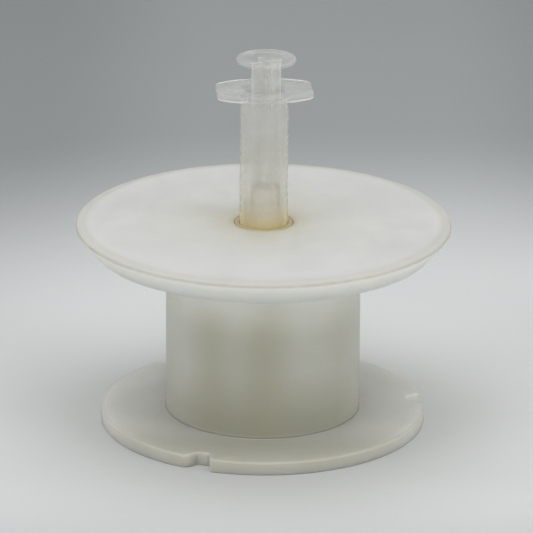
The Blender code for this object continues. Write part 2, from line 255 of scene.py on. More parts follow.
def add_piece(name, mesh, material, body, slot, *nodes):
    """Show a mesh as a piece that rides on a body and stands for CAD nodes."""
    piece = bpy.data.objects.new(name, mesh)
    bpy.context.scene.collection.objects.link(piece)
    mesh.materials.append(material)
    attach(piece, body)
    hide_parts(*nodes)


def turned(name, profile, steps):
    """A ring-shaped mesh from a closed profile of (radius, height, corner radius)."""
    angles = even_angles(steps)
    return loft(name, [ring(r, z, angles) for r, z in rounded(profile)], closed=True)


def turned_solid(name, profile, steps):
    """A mesh from a profile that ends on the axis at both ends."""
    angles = even_angles(steps)
    points = rounded(profile, closed=False)
    return loft(name, [ring(r, z, angles) for r, z in points[1:-1]])


# ---------------------------------------------------------------- materials

def rgb(red, green, blue):
    """A colour for a shader socket."""
    return (red, green, blue, 1.0)


# Stains, and painted light and shade, laid over the plain colours
FLECK = rgb(0.55, 0.52, 0.42)
# Pale stain round the lid's hole; also painted shade down the barrel's sides
PALE_STAIN_AND_SHADE = rgb(0.70, 0.68, 0.56)
BROWN_STAIN = rgb(0.56, 0.50, 0.32)
DARK_STAIN = rgb(0.46, 0.38, 0.20)
# Painted light and shade on the lid
LID_FRONT_LIGHT = rgb(0.735, 0.735, 0.70)
LID_RIM_SHADE = rgb(0.50, 0.49, 0.44)
LID_LINE_SHADE = rgb(0.40, 0.39, 0.34)
LID_SIDE_LIGHT = rgb(0.94, 0.935, 0.86)
LID_SKIRT_LIGHT = rgb(1.0, 0.995, 0.86)
# Painted shade and light on the base
BASE_SHADE = rgb(0.50, 0.49, 0.40)
BASE_JOINT_LIGHT = rgb(0.90, 0.87, 0.76)
BASE_RIM_SHADE = rgb(0.52, 0.52, 0.45)
# Painted light and shade on the drum
DRUM_HEAD_LIGHT = rgb(0.93, 0.93, 0.87)
DRUM_SHADE = rgb(0.46, 0.46, 0.37)
BAND_SHADE = rgb(0.47, 0.455, 0.32)
DRUM_STREAK = rgb(0.55, 0.54, 0.46)
DRUM_JOINT_LIGHT = rgb(0.86, 0.84, 0.74)
CLEAR_DARK = rgb(0.955, 0.955, 0.915)
CLEAR_LIGHT = rgb(0.98, 0.98, 0.94)
CLEAR_WARM = rgb(1.0, 0.99, 0.875)
CLEAR_AMBER = rgb(0.90, 0.78, 0.43)
# Painted highlight on the finger flange's edges
EDGE_HIGHLIGHT = rgb(1.0, 1.0, 0.98)
STEM_TONE = rgb(0.90, 0.82, 0.70)
# Painted shade and light on the rod
STEM_LINE_SHADE = rgb(0.34, 0.29, 0.21)
ROD_SIDE_LIGHT = rgb(0.93, 0.93, 0.91)
ROD_LEDGE_SHADE = rgb(0.40, 0.36, 0.28)

# How opaque the clear plastic's surfaces are
BORE_HAZE = 0.07
WALL_HAZE = 0.37
WALL_HEAD_HAZE = 0.24           # under the finger flange
FLANGE_HAZE = 0.145
# Near opaque along the finger flange's painted highlights
EDGE_HIGHLIGHT_HAZE = 0.98
ROD_HAZE = 0.42
ROD_SIDE_HAZE = 0.46

TOOL_PITCH = 0.35 * MM          # spacing of the rings that the lathe left
DRUM_RADIUS = node_sizes("hub_tube")[0]
# Upright bands of painted shade on the drum
DRUM_SHADE_BANDS = (                  # degrees from the front, half width in mm, strength
    (-32, 8.0, 0.42),
    (1, 8.5, 0.50),
    (53, 7.0, 0.12),
)


class Nodes:
    """A material's node tree, with a short call for each node that the materials share."""

    def __init__(self, name):
        self.material = bpy.data.materials.new(name)
        self.material.use_nodes = True
        self.tree = self.material.node_tree
        self.shader = self.tree.nodes["Principled BSDF"]
        coordinates = self.add("ShaderNodeTexCoord")
        self.place = coordinates.outputs["Object"]
        self.normal = coordinates.outputs["Normal"]
        split = self.add("ShaderNodeSeparateXYZ")
        self.feed(split.inputs[0], self.place)
        self.across = split.outputs["X"]
        self.along = split.outputs["Y"]
        self.height = split.outputs["Z"]
        self.radius = self.away_from(0.0, 0.0)

    def add(self, kind, **settings):
        """Add a node with these settings."""
        node = self.tree.nodes.new(kind)
        for key, value in settings.items():
            setattr(node, key, value)
        return node

    def feed(self, socket, value):
        """Link an output to a socket, or set the socket to a number."""
        if isinstance(value, bpy.types.NodeSocket):
            self.tree.links.new(value, socket)
        else:
            socket.default_value = value

    def noise(self, scale, detail=4.0, roughness=0.5, where=None):
        """Cloudy noise over the object, or over other coordinates."""
        node = self.add("ShaderNodeTexNoise")
        self.feed(node.inputs["Vector"], where or self.place)
        node.inputs["Scale"].default_value = scale
        node.inputs["Detail"].default_value = detail
        node.inputs["Roughness"].default_value = roughness
        return node.outputs["Fac"]

    def stretched(self, factors):
        """Object coordinates stretched along the axes."""
        node = self.add("ShaderNodeMapping")
        self.feed(node.inputs["Vector"], self.place)
        node.inputs["Scale"].default_value = factors
        return node.outputs["Vector"]

    def away_from(self, x, y):
        """Distance from an upright line."""
        node = self.add("ShaderNodeVectorMath", operation="DISTANCE")
        self.feed(node.inputs[0], self.stretched((1.0, 1.0, 0.0)))
        node.inputs[1].default_value = (x, y, 0.0)
        return node.outputs["Value"]

    def calc(self, operation, first, second=0.0):
        """One step of arithmetic."""
        node = self.add("ShaderNodeMath", operation=operation)
        self.feed(node.inputs[0], first)
        self.feed(node.inputs[1], second)
        return node.outputs[0]

    def total(self, first, *others):
        """Add values."""
        for other in others:
            first = self.calc("ADD", first, other)
        return first

    def product(self, first, *others):
        """Multiply values."""
        for other in others:
            first = self.calc("MULTIPLY", first, other)
        return first

    def off(self, value, centre):
        """How far a value is from a centre."""
        return self.calc("ABSOLUTE", self.calc("SUBTRACT", value, centre))

    def spread(self, value, low, high, new_low, new_high, kind="LINEAR"):
        """Map a range of values to another, held at its ends."""
        node = self.add("ShaderNodeMapRange", interpolation_type=kind)
        self.feed(node.inputs["Value"], value)
        limits = {"From Min": low, "From Max": high, "To Min": new_low, "To Max": new_high}
        for key, number in limits.items():
            node.inputs[key].default_value = number
        return node.outputs["Result"]

    def ease(self, value, low, high, new_low, new_high):
        """Map a range as spread does, with a gentle start and end."""
        return self.spread(value, low, high, new_low, new_high, kind="SMOOTHSTEP")

    def mix(self, share, first, second):
        """Mix two colours by a share."""
        node = self.add("ShaderNodeMix", data_type="RGBA")
        self.feed(node.inputs["Factor"], share)
        self.feed(node.inputs["A"], first)
        self.feed(node.inputs["B"], second)
        return node.outputs["Result"]

    def blend(self, share, first, second):
        """Mix two numbers by a share."""
        node = self.add("ShaderNodeMix", data_type="FLOAT")
        self.feed(node.inputs[0], share)
        self.feed(node.inputs[2], first)
        self.feed(node.inputs[3], second)
        return node.outputs[0]

    def facing(self):
        """0 where a face is seen square on, 1 where it is seen edge-on."""
        node = self.add("ShaderNodeLayerWeight")
        node.inputs["Blend"].default_value = 0.5
        return node.outputs["Facing"]

    def flatness(self):
        """1 on level faces, 0 on upright ones."""
        tilt = self.add("ShaderNodeSeparateXYZ")
        self.feed(tilt.inputs[0], self.normal)
        return self.spread(self.calc("ABSOLUTE", tilt.outputs["Z"]), 0.6, 0.95, 0.0, 1.0)

    def turning_marks(self):
        """Fine uneven rings left by a lathe on a flat face."""
        rings = self.product(self.radius, math.tau / TOOL_PITCH)
        wander = self.product(self.noise(220.0, 2.0), 9.0)
        return self.calc("SINE", self.total(rings, wander))

    def bump(self, height, strength, distance):
        """Fine relief of the surface."""
        node = self.add("ShaderNodeBump")
        node.inputs["Strength"].default_value = strength
        node.inputs["Distance"].default_value = distance
        self.feed(node.inputs["Height"], height)
        self.feed(self.shader.inputs["Normal"], node.outputs["Normal"])

    def set(self, **values):
        """Set shader sockets, named with underscores for spaces."""
        for key, value in values.items():
            self.feed(self.shader.inputs[key.replace("_", " ")], value)


def milky_plastic(name, light, dark, scatter, tone=None):
    """White translucent plastic, turned: clouded colour, light inside it and fine tool marks."""
    nodes = Nodes(name)
    clouds = nodes.ease(nodes.noise(55.0, 5.0, 0.6), 0.35, 0.65, 0.0, 1.0)
    color = nodes.mix(clouds, dark, light)
    flecks = nodes.spread(nodes.noise(900.0, 3.0), 0.6, 0.75, 0.0, 0.12)
    color = nodes.mix(flecks, color, FLECK)
    if tone:
        color = tone(nodes, color)
    rough = nodes.spread(nodes.noise(160.0, 6.0, 0.65), 0.3, 0.7, 0.42, 0.58)
    nodes.set(Base_Color=color, Roughness=rough, IOR=1.5, Subsurface_Weight=1.0,
              Subsurface_Radius=(1.0, 0.95, 0.8), Subsurface_Scale=scatter)
    grain = nodes.product(nodes.noise(1400.0, 3.0), 0.6)
    tool = nodes.product(nodes.turning_marks(), 0.25)
    nodes.bump(nodes.total(grain, tool), 0.35, 0.02 * MM)
    return nodes.material


def hole_stain(nodes, color):
    """Brown chemical stain that fades outwards from the centre hole in uneven tongues."""
    tongues = nodes.spread(nodes.noise(120.0, 4.0), 0.3, 0.7, -2.5 * MM, 2.5 * MM)
    distance = nodes.total(nodes.radius, tongues)
    tint = nodes.ease(distance, 12.0 * MM, 36.0 * MM, 0.30, 0.0)
    color = nodes.mix(tint, color, PALE_STAIN_AND_SHADE)
    wash = nodes.ease(distance, 6.0 * MM, 15.0 * MM, 0.32, 0.0)
    color = nodes.mix(wash, color, BROWN_STAIN)
    edge = nodes.ease(nodes.radius, 6.3 * MM, 8.0 * MM, 0.30, 0.0)
    return nodes.mix(edge, color, DARK_STAIN)


def lid_tone(nodes, color):
    """The lid's stain, painted light on its front, painted shade on its rim and in a soft line near its
    edge, and painted light on its side.
    """
    color = hole_stain(nodes, color)
    # Painted light: the lid's front made paler
    front = nodes.ease(nodes.along, -12.0 * MM, -32.0 * MM, 0.0, 0.5)
    inner = nodes.spread(nodes.radius, 35.0 * MM, 38.0 * MM, 1.0, 0.0)
    color = nodes.mix(nodes.product(front, inner), color, LID_FRONT_LIGHT)
    # Painted shade on the rim, and a soft line of painted shade near its edge
    rim = nodes.ease(nodes.radius, 37.0 * MM, 38.8 * MM, 0.0, 0.42)
    color = nodes.mix(rim, color, LID_RIM_SHADE)
    line = nodes.ease(nodes.off(nodes.radius, 40.1 * MM), 0.1 * MM, 0.6 * MM, 0.14, 0.0)
    color = nodes.mix(line, color, LID_LINE_SHADE)
    # Painted light: the plate's side and skirt made much paler than its top
    side = nodes.ease(nodes.height, 44.3 * MM, 43.7 * MM, 0.0, 1.0)
    skirt = nodes.ease(nodes.height, 43.0 * MM, 41.2 * MM, 0.0, 1.0)
    return nodes.mix(side, color, nodes.mix(skirt, LID_SIDE_LIGHT, LID_SKIRT_LIGHT))


def base_tone(nodes, color):
    """Painted shade on the base in front of the drum and along its rim, and painted light right at the
    glued joint.
    """
    # Painted shade in front of the drum
    shade = nodes.ease(nodes.radius, 22.0 * MM, 32.0 * MM, 0.68, 0.62)
    front = nodes.ease(nodes.along, -12.0 * MM, -26.0 * MM, 0.0, 1.0)
    color = nodes.mix(nodes.product(shade, front), color, BASE_SHADE)
    # Painted light that lifts the shade in the corner at the joint
    joint_light = nodes.ease(nodes.radius, 21.2 * MM, 22.2 * MM, 1.0, 0.0)
    color = nodes.mix(joint_light, color, BASE_JOINT_LIGHT)
    # Painted shade along the rim's side
    rim = nodes.ease(nodes.radius, 34.2 * MM, 34.8 * MM, 0.0, 1.0)
    level = nodes.spread(nodes.height, 1.9 * MM, 2.4 * MM, 0.24, 0.50)
    return nodes.mix(nodes.product(rim, level), color, BASE_RIM_SHADE)


def shade_band(nodes, azimuth, half_width, strength):
    """Mask of a soft upright band of painted shade on the drum, centred at an angle from the front."""
    away = nodes.away_from(DRUM_RADIUS * math.sin(azimuth), -DRUM_RADIUS * math.cos(azimuth))
    return nodes.ease(away, 0.0, half_width, strength, 0.0)


def hub_tone(nodes, color):
    """Drum with painted light at its head and joint, painted shade towards its foot and in soft upright
    bands, and faint streaks.
    """
    # Painted light: the drum made paler at its head, under the lid
    head = nodes.ease(nodes.height, 29.5 * MM, 38.5 * MM, 0.0, 0.9)
    color = nodes.mix(head, color, DRUM_HEAD_LIGHT)
    # Painted shade over the middle and towards the foot, less of it at the right
    middle = nodes.ease(nodes.height, 31.0 * MM, 24.0 * MM, 0.0, 0.37)
    middle_left = nodes.spread(nodes.across, -DRUM_RADIUS, -9.0 * MM, 0.45, 1.0)
    foot = nodes.spread(nodes.height, 17.0 * MM, 7.0 * MM, 0.0, 0.54)
    foot_left = nodes.spread(nodes.across, -DRUM_RADIUS, -15.0 * MM, 0.35, 1.0)
    right = nodes.spread(nodes.across, DRUM_RADIUS, 16.0 * MM, 0.5, 1.0)
    shade = nodes.total(nodes.product(middle, middle_left), nodes.product(foot, foot_left))
    color = nodes.mix(nodes.product(shade, right), color, DRUM_SHADE)
    # Painted shade in upright bands, fading out towards the head
    low = nodes.ease(nodes.height, 34.0 * MM, 26.0 * MM, 0.1, 1.0)
    for degrees, half_width, strength in DRUM_SHADE_BANDS:
        band = shade_band(nodes, math.radians(degrees), half_width * MM, strength)
        color = nodes.mix(nodes.product(band, low), color, BAND_SHADE)
    upright = nodes.stretched((1.0, 1.0, 0.05))
    streaks = nodes.spread(nodes.noise(90.0, 3.0, where=upright), 0.35, 0.65, 0.0, 0.15)
    color = nodes.mix(streaks, color, DRUM_STREAK)
    # Painted light that lifts the shade at the drum's foot
    joint_light = nodes.ease(nodes.height, 3.0 * MM, 3.8 * MM, 0.35, 0.0)
    return nodes.mix(joint_light, color, DRUM_JOINT_LIGHT)


def dimmed(color, share):
    """A colour with its brightness multiplied."""
    return rgb(*(channel * share for channel in color[:3]))


def moulded_color(nodes, white):
    """Faintly streaked clear plastic that turns amber towards the lid, and its streaks."""
    upright = nodes.stretched((1.0, 1.0, 0.08))
    streaks = nodes.spread(nodes.noise(420.0, 3.0, where=upright), 0.3, 0.7, 0.0, 1.0)
    color = nodes.mix(streaks, dimmed(CLEAR_DARK, white), dimmed(CLEAR_LIGHT, white))
    faint = nodes.spread(nodes.height, 54.0 * MM, 68.0 * MM, 0.80, 0.0)
    color = nodes.mix(faint, color, dimmed(CLEAR_WARM, white))
    strong = nodes.spread(nodes.height, 45.0 * MM, 50.5 * MM, 1.0, 0.0)
    return nodes.mix(strong, color, dimmed(CLEAR_AMBER, white)), streaks


def with_streaks(nodes, density, streaks):
    """A density that follows the streaks a little."""
    return nodes.total(density, nodes.spread(streaks, 0.0, 1.0, -0.015, 0.015))


def finish_haze(nodes, color, density):
    """A semi-gloss finish with the fine unevenness of a moulded surface."""
    rough = nodes.spread(nodes.noise(700.0, 4.0), 0.3, 0.7, 0.20, 0.32)
    nodes.set(Base_Color=color, Roughness=rough, IOR=1.45, Alpha=density)
    nodes.bump(nodes.noise(500.0, 3.0), 0.02, 0.01 * MM)
    return nodes.material


def edge_highlights(nodes, low, high):
    """Mask of the finger flange's painted highlights: along the upper edge behind and the lower edge in
    front.
    """
    turn = Matrix.Rotation(FINGER_TURN, 2)
    behind = (1, 7.5 * MM, high - 0.5 * MM, high - 0.3 * MM)
    in_front = (-1, 7.9 * MM, low + 0.6 * MM, low + 0.4 * MM)
    share = 0.0
    for side, least, plain, bright in (behind, in_front):
        centre = turn @ Vector((0.0, side * (FINGER_HALF_WIDTH - FINGER_SIDE_ARC)))
        away = nodes.away_from(centre.x, centre.y)
        edge = nodes.spread(away, FINGER_SIDE_ARC - 0.8 * MM, FINGER_SIDE_ARC - 0.5 * MM, 0.0, 1.0)
        outward = nodes.spread(nodes.radius, least, least + 0.5 * MM, 0.0, 1.0)
        level = nodes.spread(nodes.height, plain, bright, 0.0, 1.0)
        share = nodes.total(nodes.product(edge, outward, level), share)
    return share


def barrel_plastic():
    """Hazy barrel: dense wall, clearer bore, painted shade down its sides, and a clear finger flange
    with painted highlights on two edges.
    """
    nodes = Nodes("barrel_plastic")
    color, streaks = moulded_color(nodes, 1.0)
    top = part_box("syringe_barrel")[1][2]
    foot = top - FINGER_THICKNESS
    head = nodes.spread(nodes.height, foot - 0.2 * MM, foot, 0.0, 1.0)
    flange = nodes.calc("MAXIMUM", head, nodes.spread(nodes.radius, 5.5 * MM, 5.9 * MM, 0.0, 1.0))
    wall = nodes.ease(nodes.height, foot - 5.0 * MM, foot, WALL_HAZE, WALL_HEAD_HAZE)
    outside = nodes.spread(nodes.radius, 4.5 * MM, 4.9 * MM, 0.0, 1.0)
    density = nodes.blend(outside, BORE_HAZE, wall)
    density = nodes.total(density, nodes.ease(nodes.facing(), 0.35, 0.62, 0.0, 0.25))
    upright = nodes.spread(nodes.radius, 5.0 * MM, 6.0 * MM, 0.07, 0.24)
    ripples = nodes.spread(nodes.noise(200.0, 3.0), 0.38, 0.62, -0.03, 0.04)
    level = nodes.total(ripples, FLANGE_HAZE)
    density = nodes.blend(flange, density, nodes.blend(nodes.flatness(), upright, level))
    density = with_streaks(nodes, density, streaks)
    density = nodes.total(density, nodes.spread(nodes.height, 44.0 * MM, 50.5 * MM, 0.4, 0.0))
    # Painted highlights along two edges of the finger flange
    highlights = edge_highlights(nodes, foot, top)
    density = nodes.blend(highlights, density, EDGE_HIGHLIGHT_HAZE)
    # Painted shade down the barrel's sides below the finger flange
    flank_shade = nodes.ease(nodes.calc("ABSOLUTE", nodes.across), 4.0 * MM, 5.1 * MM, 0.0, 0.22)
    below = nodes.calc("SUBTRACT", 1.0, flange)
    color = nodes.mix(nodes.product(flank_shade, below), color, PALE_STAIN_AND_SHADE)
    return finish_haze(nodes, nodes.mix(highlights, color, EDGE_HIGHLIGHT), density)


def rod_plastic():
    """Hazy rod with painted light along its sides, a darker round stem with a line of painted shade
    each side, and painted shade on level faces lower down.
    """
    nodes = Nodes("rod_plastic")
    color, streaks = moulded_color(nodes, 0.87)
    aside = nodes.off(nodes.across, ROD_LEAN)
    stem = nodes.spread(nodes.height, STEM_TOP + 0.1 * MM, STEM_TOP, 0.0, 1.0)
    color = nodes.mix(stem, color, STEM_TONE)
    # Painted shade: a dark line down each side of the stem
    shade_lines = nodes.spread(aside, 2.65 * MM, 2.9 * MM, 0.0, 0.8)
    color = nodes.mix(nodes.product(stem, shade_lines), color, STEM_LINE_SHADE)
    # Painted light along the rod's sides
    sides = nodes.ease(aside, 2.6 * MM, 3.0 * MM, 0.0, 1.0)
    fins = nodes.calc("SUBTRACT", 1.0, stem)
    color = nodes.mix(nodes.product(sides, fins), color, ROD_SIDE_LIGHT)
    level = nodes.flatness()
    # Painted shade on level faces below about 62 mm
    shaded_inside = nodes.spread(nodes.height, 62.0 * MM, 60.0 * MM, 0.0, 0.36)
    color = nodes.mix(nodes.product(shaded_inside, level), color, ROD_LEDGE_SHADE)
    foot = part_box("plunger_rod")[1][2] - THUMB_THICKNESS
    disc = nodes.spread(nodes.height, foot - 0.2 * MM, foot, 0.0, 1.0)
    density = nodes.blend(sides, ROD_HAZE, ROD_SIDE_HAZE)
    edge_on = nodes.ease(nodes.facing(), 0.70, 0.95, 0.3, 0.6)
    density = nodes.total(density, nodes.product(stem, edge_on))
    ridge = nodes.spread(nodes.radius, 5.8 * MM, 6.2 * MM, 0.0, 0.07)
    ripples = nodes.spread(nodes.noise(260.0, 3.0), 0.38, 0.62, -0.03, 0.07)
    clear = nodes.total(nodes.blend(level, 0.17, 0.09), ridge, ripples)
    density = nodes.blend(disc, density, clear)
    return finish_haze(nodes, color, with_streaks(nodes, density, streaks))


def soft_rubber(name, light, dark, scatter):
    """Smooth rubber with a faint bloom, a little light inside it."""
    nodes = Nodes(name)
    bloom = nodes.spread(nodes.noise(400.0, 4.0), 0.3, 0.7, 0.0, 1.0)
    rough = nodes.spread(nodes.noise(900.0, 3.0), 0.3, 0.7, 0.4, 0.6)
    nodes.set(Base_Color=nodes.mix(bloom, dark, light), Roughness=rough, IOR=1.5,
              Subsurface_Weight=1.0, Subsurface_Radius=(1.0, 0.8, 0.5), Subsurface_Scale=scatter)
    nodes.bump(nodes.noise(1200.0, 2.0), 0.2, 0.02 * MM)
    return nodes.material


# ---------------------------------------------------------------- the reel

def notched_outline(radius):
    """Plan of the bottom flange: a circle with three hooked notches, corners rounded."""
    floor = radius - NOTCH_DEPTH
    notch = [
        (radius, NOTCH_RAMP_TOP - 0.5 * MM, 2.2 * MM),
        (floor + 0.5 * MM, NOTCH_RAMP_FLOOR, 1.3 * MM),
        (floor, NOTCH_WALL_FLOOR, 0.7 * MM),
        (radius, NOTCH_WALL_TOP, 0.3 * MM),
    ]
    clear = 4.0 * MM / radius
    start = math.atan2(NOTCH_WALL_TOP, radius) + clear / 4
    end = math.tau / NOTCH_COUNT + math.atan2(NOTCH_RAMP_TOP, radius) - clear
    points = []
    for index in range(NOTCH_COUNT):
        turn = NOTCH_ANGLE + index * math.tau / NOTCH_COUNT
        for x, y, corner in notch:
            angle = math.atan2(y, x) + turn
            reach = radius if x == radius else math.hypot(x, y)
            points.append((reach * math.cos(angle), reach * math.sin(angle), corner))
        for step in range(ARC_STEPS + 1):
            angle = turn + start + (end - start) * step / ARC_STEPS
            points.append((radius * math.cos(angle), radius * math.sin(angle)))
    return rounded(points)


def rim_rings(outline, angles, top, bottom, upper_round, lower_round, count=5):
    """Rings down the side of a plate with this outline, its two edges rounded."""
    rings = []
    for step in range(count + 1):
        turn = math.pi / 2 * step / count
        radii = radii_of(inset(outline, upper_round * (1 - math.sin(turn))), angles)
        rings.append(ring(radii, top - upper_round * (1 - math.cos(turn)), angles))
    for step in range(count + 1):
        turn = math.pi / 2 * step / count
        radii = radii_of(inset(outline, lower_round * (1 - math.cos(turn))), angles)
        rings.append(ring(radii, bottom + lower_round * (1 - math.sin(turn)), angles))
    return rings


def make_base():
    """Bottom flange with its notches, locating ring and centre hole."""
    radius, foot, spigot_top = node_sizes("bottom_flange")
    top = foot + BASE_THICKNESS
    whole = radius - NOTCH_DEPTH - 0.6 * MM
    outline = notched_outline(radius)
    angles = angles_with(outline, DISC_STEPS)
    inner = rounded([
        (BASE_HOLE, foot + 0.2 * MM),
        (BASE_HOLE, top, 0.2 * MM),
        (SPIGOT_INNER, top, 0.4 * MM),
        (SPIGOT_INNER, spigot_top, 0.3 * MM),
        (SPIGOT_OUTER, spigot_top, 0.5 * MM),
        (SPIGOT_OUTER, top, 0.2 * MM),
        (whole, top),
    ], closed=False)
    rings = [ring(r, z, angles) for r, z in inner]
    rings += rim_rings(outline, angles, top, foot, 0.45 * MM, 0.12 * MM)
    rings.append(ring(whole, foot, angles))
    rings.append(ring(BASE_HOLE + 0.2 * MM, foot, angles))
    mesh = loft("base_disc", rings, closed=True)
    material = milky_plastic("base_plastic", rgb(0.82, 0.82, 0.785), rgb(0.77, 0.77, 0.73), 3 * MM,
                             tone=base_tone)
    add_piece("base_disc", mesh, material, "reel", "base_plastic", "bottom_flange")


def make_drum():
    """Winding drum, its ends let down to the flanges."""
    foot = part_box("bottom_flange")[0][2] + BASE_THICKNESS - DRUM_SINK
    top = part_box("top_flange")[1][2] - FLANGE_THICKNESS + DRUM_SINK
    profile = [
        (DRUM_RADIUS, top),
        (DRUM_RADIUS, foot),
        (HUB_BORE, foot),
        (HUB_BORE, top),
    ]
    material = milky_plastic("drum_plastic", rgb(0.78, 0.78, 0.72), rgb(0.74, 0.74, 0.68), 3 * MM,
                             tone=hub_tone)
    add_piece("winding_drum", turned("winding_drum", profile, DISC_STEPS), material,
              "reel", "hub_plastic", "hub_tube")


def make_guide(material):
    """Guide tube for the barrel, inside the drum."""
    radius, foot, top = node_sizes("centre_tube")
    foot -= CAD_GAP - SEAM
    profile = [
        (radius, top, 0.3 * MM),
        (radius, foot, 0.2 * MM),
        (TUBE_BORE, foot, 0.2 * MM),
        (TUBE_BORE, top, 0.5 * MM),
    ]
    add_piece("guide_tube", turned("guide_tube", profile, TUBE_STEPS), material,
              "reel", "guide_plastic", "centre_tube")


def make_seat(material):
    """Stepped bush that takes the nozzle."""
    collar, foot, top = node_sizes("nozzle_seat")
    profile = [
        (collar, top, 0.25 * MM),
        (collar, SEAT_COLLAR_FOOT, 0.1 * MM),
        (SEAT_SPIGOT, SEAT_COLLAR_FOOT, 0.1 * MM),
        (SEAT_SPIGOT, foot, 0.3 * MM),
        (SEAT_BORE, foot, 0.2 * MM),
        (SEAT_BORE, SEAT_LEDGE, 0.1 * MM),
        (SEAT_SOCKET, SEAT_LEDGE, 0.1 * MM),
        (SEAT_SOCKET, top, 0.5 * MM),
    ]
    add_piece("nozzle_bush", turned("nozzle_bush", profile, TUBE_STEPS), material,
              "reel", "guide_plastic", "nozzle_seat")


def make_lid():
    """The thick flange, and the wide plate over it with a tapering skirt round the flange."""
    flange_low, flange_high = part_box("top_flange")
    plate_radius, skirt_foot, plate_top = node_sizes("lid_plate")
    plate_foot = plate_top - LID_THICKNESS
    underside = flange_high[2] - FLANGE_THICKNESS
    spigot_foot = flange_low[2]
    top = plate_foot - SEAM
    flange_radius = SKIRT_INNER - SEAM
    profile = [
        (flange_radius, top, 0.1 * MM),
        (flange_radius, underside, 0.3 * MM),
        (SPIGOT_OUTER, underside, 0.15 * MM),
        (SPIGOT_OUTER, spigot_foot, 0.5 * MM),
        (SPIGOT_INNER, spigot_foot, 0.3 * MM),
        (SPIGOT_INNER, underside, 0.4 * MM),
        (THROAT_RADIUS, underside, 0.3 * MM),
        (THROAT_RADIUS, POCKET_FLOOR, 0.2 * MM),
        (POCKET_RADIUS, POCKET_FLOOR, 0.1 * MM),
        (POCKET_RADIUS, top, 0.1 * MM),
    ]
    # Flange's white raised to near 1: painted light on its side band
    flange = milky_plastic("flange_plastic", rgb(0.99, 0.985, 0.925), rgb(0.97, 0.965, 0.905), 2.5 * MM)
    add_piece("flange_disc", turned("flange_disc", profile, DISC_STEPS), flange,
              "lid", "lid_plastic", "top_flange")
    plate = [
        (LID_HOLE, plate_top, 0.25 * MM),
        (plate_radius - 2.2 * MM, plate_top, 1.5 * MM),
        (plate_radius - 0.3 * MM, plate_top - 0.25 * MM, 0.35 * MM),
        (plate_radius, plate_top - 0.9 * MM, 0.6 * MM),
        (plate_radius - 1.1 * MM, plate_top - 2.3 * MM, 2.0 * MM),
        (SKIRT_FOOT, skirt_foot, 0.3 * MM),
        (SKIRT_INNER, skirt_foot, 0.1 * MM),
        (SKIRT_INNER, plate_foot, 0.1 * MM),
        (LID_HOLE, plate_foot, 0.1 * MM),
    ]
    # Plate's white lowered well below the flange's, though both are one plastic: painted shade on its
    # lit top
    white = milky_plastic("plate_plastic", rgb(0.66, 0.665, 0.645), rgb(0.63, 0.635, 0.615), 3.0 * MM,
                          tone=lid_tone)
    add_piece("plate_disc", turned("plate_disc", plate, DISC_STEPS), white,
              "lid", "lid_plastic", "lid_plate")


def make_grommet():
    """Amber bush round the barrel: a flange under the plate and a neck in its hole."""
    radius, foot, top = node_sizes("barrel_grommet")
    shoulder = foot + GROMMET_FLANGE
    neck_top = top + 0.25 * MM
    profile = [
        (GROMMET_NECK, neck_top, 0.2 * MM),
        (GROMMET_NECK, shoulder, 0.15 * MM),
        (radius, shoulder, 0.45 * MM),
        (radius, foot, 0.45 * MM),
        (GROMMET_BORE + 0.5 * MM, foot, 0.3 * MM),
        (GROMMET_BORE, (foot + shoulder) / 2, 0.5 * MM),
        (GROMMET_BORE, neck_top, 0.12 * MM),
    ]
    amber = soft_rubber("amber_rubber", rgb(0.56, 0.48, 0.30), rgb(0.50, 0.42, 0.25), 1.0 * MM)
    add_piece("grommet_ring", turned("grommet_ring", profile, TUBE_STEPS), amber,
              "bearing", "amber_rubber", "barrel_grommet")


# ---------------------------------------------------------------- the syringe

def finger_outline():
    """Plan of the finger flange, slightly turned: bowed long edges and blunt ends."""
    bow_centre = FINGER_HALF_WIDTH - FINGER_SIDE_ARC
    corner_x = FINGER_HALF_LENGTH - FINGER_CORNER
    reach = FINGER_SIDE_ARC - FINGER_CORNER
    corner_y = bow_centre + math.sqrt(reach ** 2 - corner_x ** 2)
    meet = math.atan2(corner_y - bow_centre, corner_x)
    corner = [(corner_x + FINGER_CORNER * math.cos(a), corner_y + FINGER_CORNER * math.sin(a))
              for a in np.linspace(0.0, meet, 12)]
    bow = [(FINGER_SIDE_ARC * math.cos(a), bow_centre + FINGER_SIDE_ARC * math.sin(a))
           for a in np.linspace(meet, math.pi / 2, 16)]
    quarter = corner + bow[1:]
    upper = quarter + [(-x, y) for x, y in reversed(quarter[:-1])]
    points = upper + [(x, -y) for x, y in reversed(upper)]
    turn = Matrix.Rotation(FINGER_TURN, 2)
    return [tuple(turn @ Vector(point)) for point in points]


